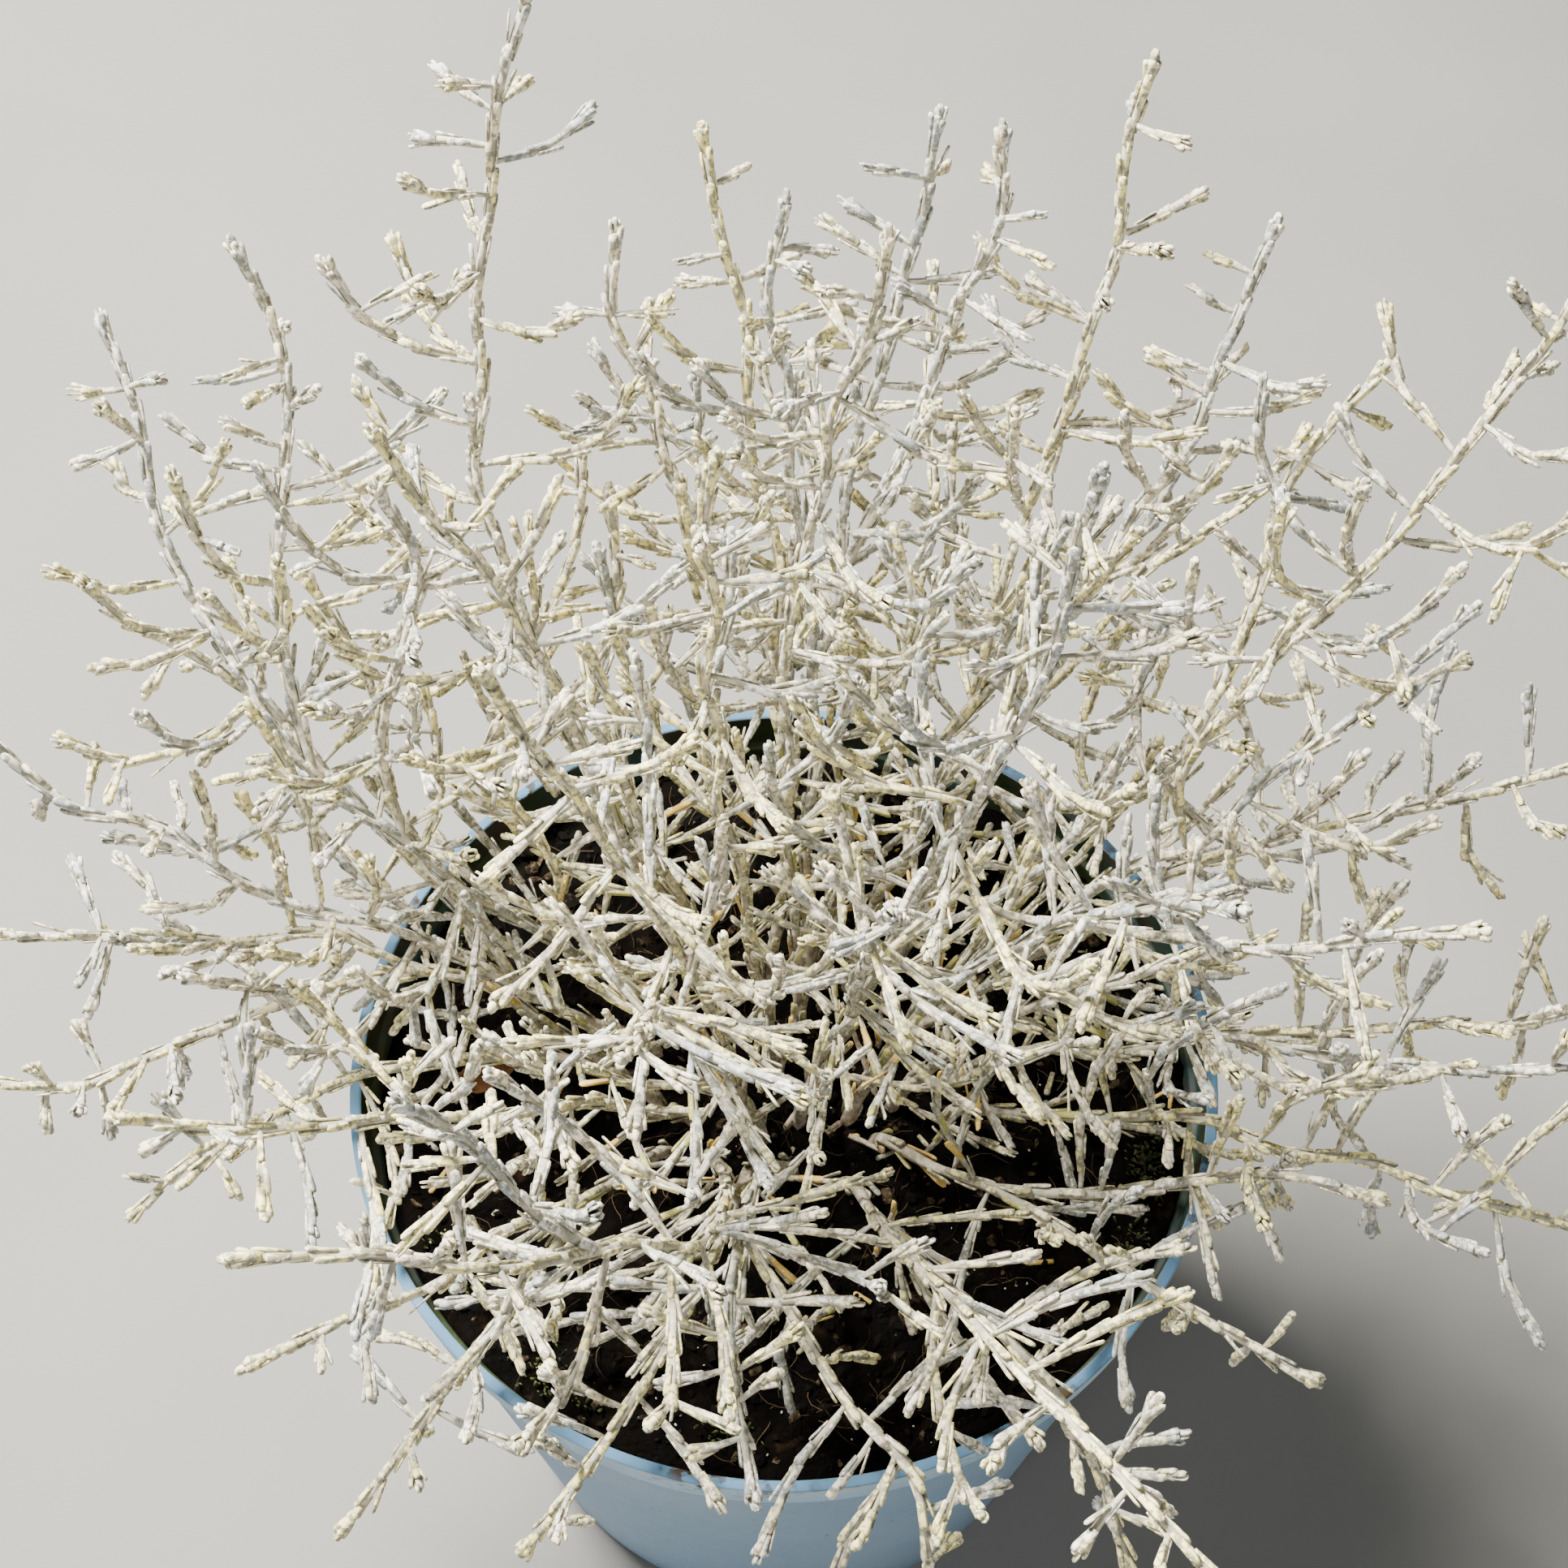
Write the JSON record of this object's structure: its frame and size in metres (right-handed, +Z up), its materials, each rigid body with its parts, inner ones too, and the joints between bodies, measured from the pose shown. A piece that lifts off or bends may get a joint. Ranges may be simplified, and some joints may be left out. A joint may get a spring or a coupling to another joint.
{
  "type": "potted cushion bush",
  "caption": "Cushion bush: an open mound of thin, silvery, scaly twigs with clubbed tips, rooted in dark soil in a plain pale blue tapered nursery pot.",
  "frame": {"origin": "middle of the pot's underside, on the surface that it stands on", "axes": "+Z up along the pot's axis; the pictured front of the plant faces -Y, with +X to its right"},
  "size_m": [0.2479, 0.2022, 0.2388],
  "materials": {
    "pot_plastic": "satin pale blue polypropylene with soil smears",
    "peat": "damp fibrous peat and bark compost",
    "silver_twig": "felted silver-grey scale leaves on a thin woody stem"
  },
  "bodies": {
    "root": {"pot": "pot_plastic", "soil": "peat", "stem_01": "silver_twig", "stem_02": "silver_twig", "stem_03": "silver_twig", "stem_04": "silver_twig", "stem_05": "silver_twig", "stem_06": "silver_twig", "stem_07": "silver_twig", "stem_08": "silver_twig", "stem_09": "silver_twig", "stem_10": "silver_twig", "stem_11": "silver_twig", "stem_12": "silver_twig", "stem_13": "silver_twig", "stem_14": "silver_twig", "stem_15": "silver_twig", "stem_16": "silver_twig", "stem_17": "silver_twig", "stem_18": "silver_twig", "stem_19": "silver_twig", "stem_20": "silver_twig", "stem_21": "silver_twig", "stem_22": "silver_twig", "stem_23": "silver_twig", "stem_24": "silver_twig", "stem_25": "silver_twig", "stem_26": "silver_twig", "stem_27": "silver_twig", "stem_28": "silver_twig", "stem_29": "silver_twig", "stem_30": "silver_twig", "stem_31": "silver_twig", "stem_32": "silver_twig"}
  },
  "joints": []
}
